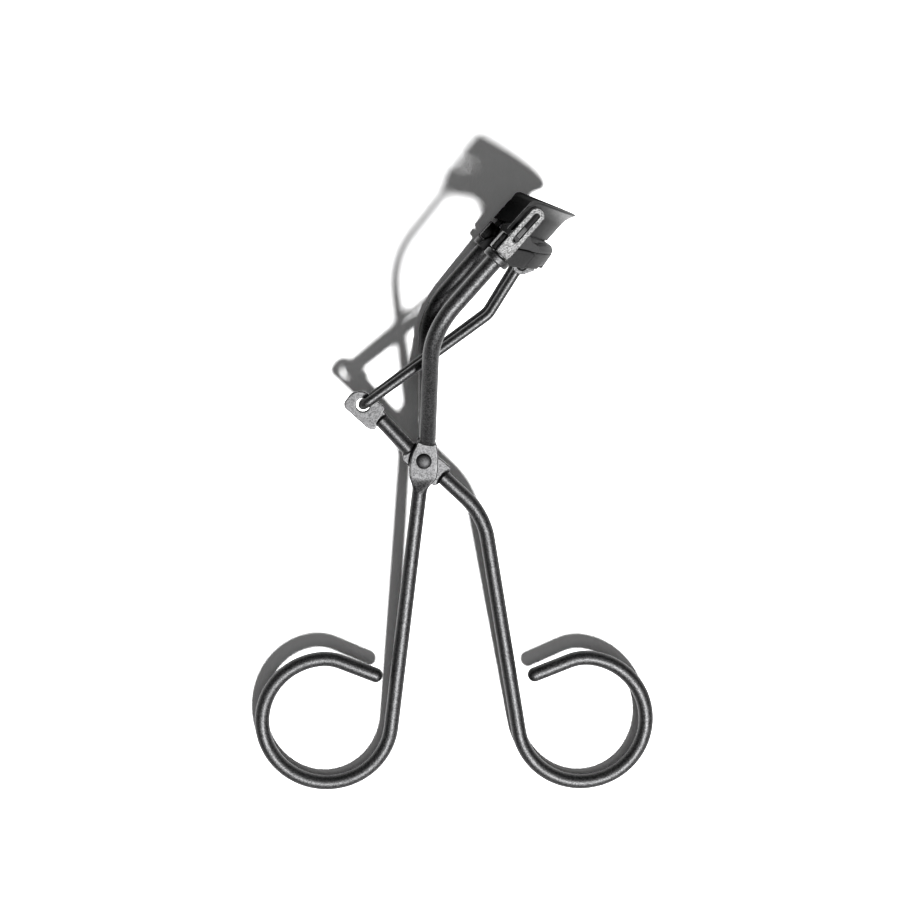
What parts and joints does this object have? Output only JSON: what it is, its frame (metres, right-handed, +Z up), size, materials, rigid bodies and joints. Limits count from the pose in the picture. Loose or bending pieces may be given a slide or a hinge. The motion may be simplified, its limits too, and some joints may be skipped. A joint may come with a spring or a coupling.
{
  "type": "eyelash curler",
  "caption": "Hand eyelash curler with open finger rings, a riveted pivot, a wire yoke and a padded jaw that slides along the arms up to a fixed curved jaw.",
  "frame": {"origin": "on the table surface under the middle of the laid tool's bounding box", "axes": "+Z up from the table, +Y along the tool from the finger rings to the head, +X to the lever handle's side"},
  "size_m": [0.0704, 0.1058, 0.0342],
  "materials": {
    "plated_rod": "satin gun-metal plating, fine grain",
    "pale_plate": "flattened faces, matte grained grey",
    "rivet_metal": "dark domed rivet",
    "dark_sheet": "near-black plated sheet",
    "pad_rubber": "matte black silicone rubber"
  },
  "bodies": {
    "frame": {"frame_handle": "plated_rod", "far_arm": "plated_rod", "pivot_rivet": "rivet_metal", "near_guide": "pale_plate", "far_guide": "pale_plate", "upper_jaw": "dark_sheet"},
    "lever": {"lever_handle": "plated_rod"},
    "jaw": {"pad_holder": "dark_sheet", "lash_pad": "pad_rubber", "near_collar": "plated_rod", "far_collar": "plated_rod", "near_ear": "plated_rod", "far_ear": "plated_rod"},
    "yoke": {"yoke_wire": "plated_rod"}
  },
  "joints": [
    {"name": "lever_pivot", "type": "hinge", "parent": "frame", "child": "lever", "pos_m": [-0.00583, 0.00578, 0.01068], "axis": [0, -0.161, 0.987], "range_deg": [0, 25]},
    {"name": "jaw_slide", "type": "slide", "parent": "frame", "child": "jaw", "axis": [-0.66, -0.7415, -0.121], "range_m": [0, 0.00598]},
    {"name": "yoke_hinge", "type": "hinge", "parent": "jaw", "child": "yoke", "pos_m": [0.01022, 0.03928, 0.01614], "axis": [0, -0.161, 0.987], "range_deg": [0, 1.61]}
  ],
  "couplings": [
    {"joint": "jaw_slide", "follows": "lever_pivot", "m_per_rad": 0.01359},
    {"joint": "yoke_hinge", "follows": "lever_pivot", "ratio": 0.0625}
  ]
}
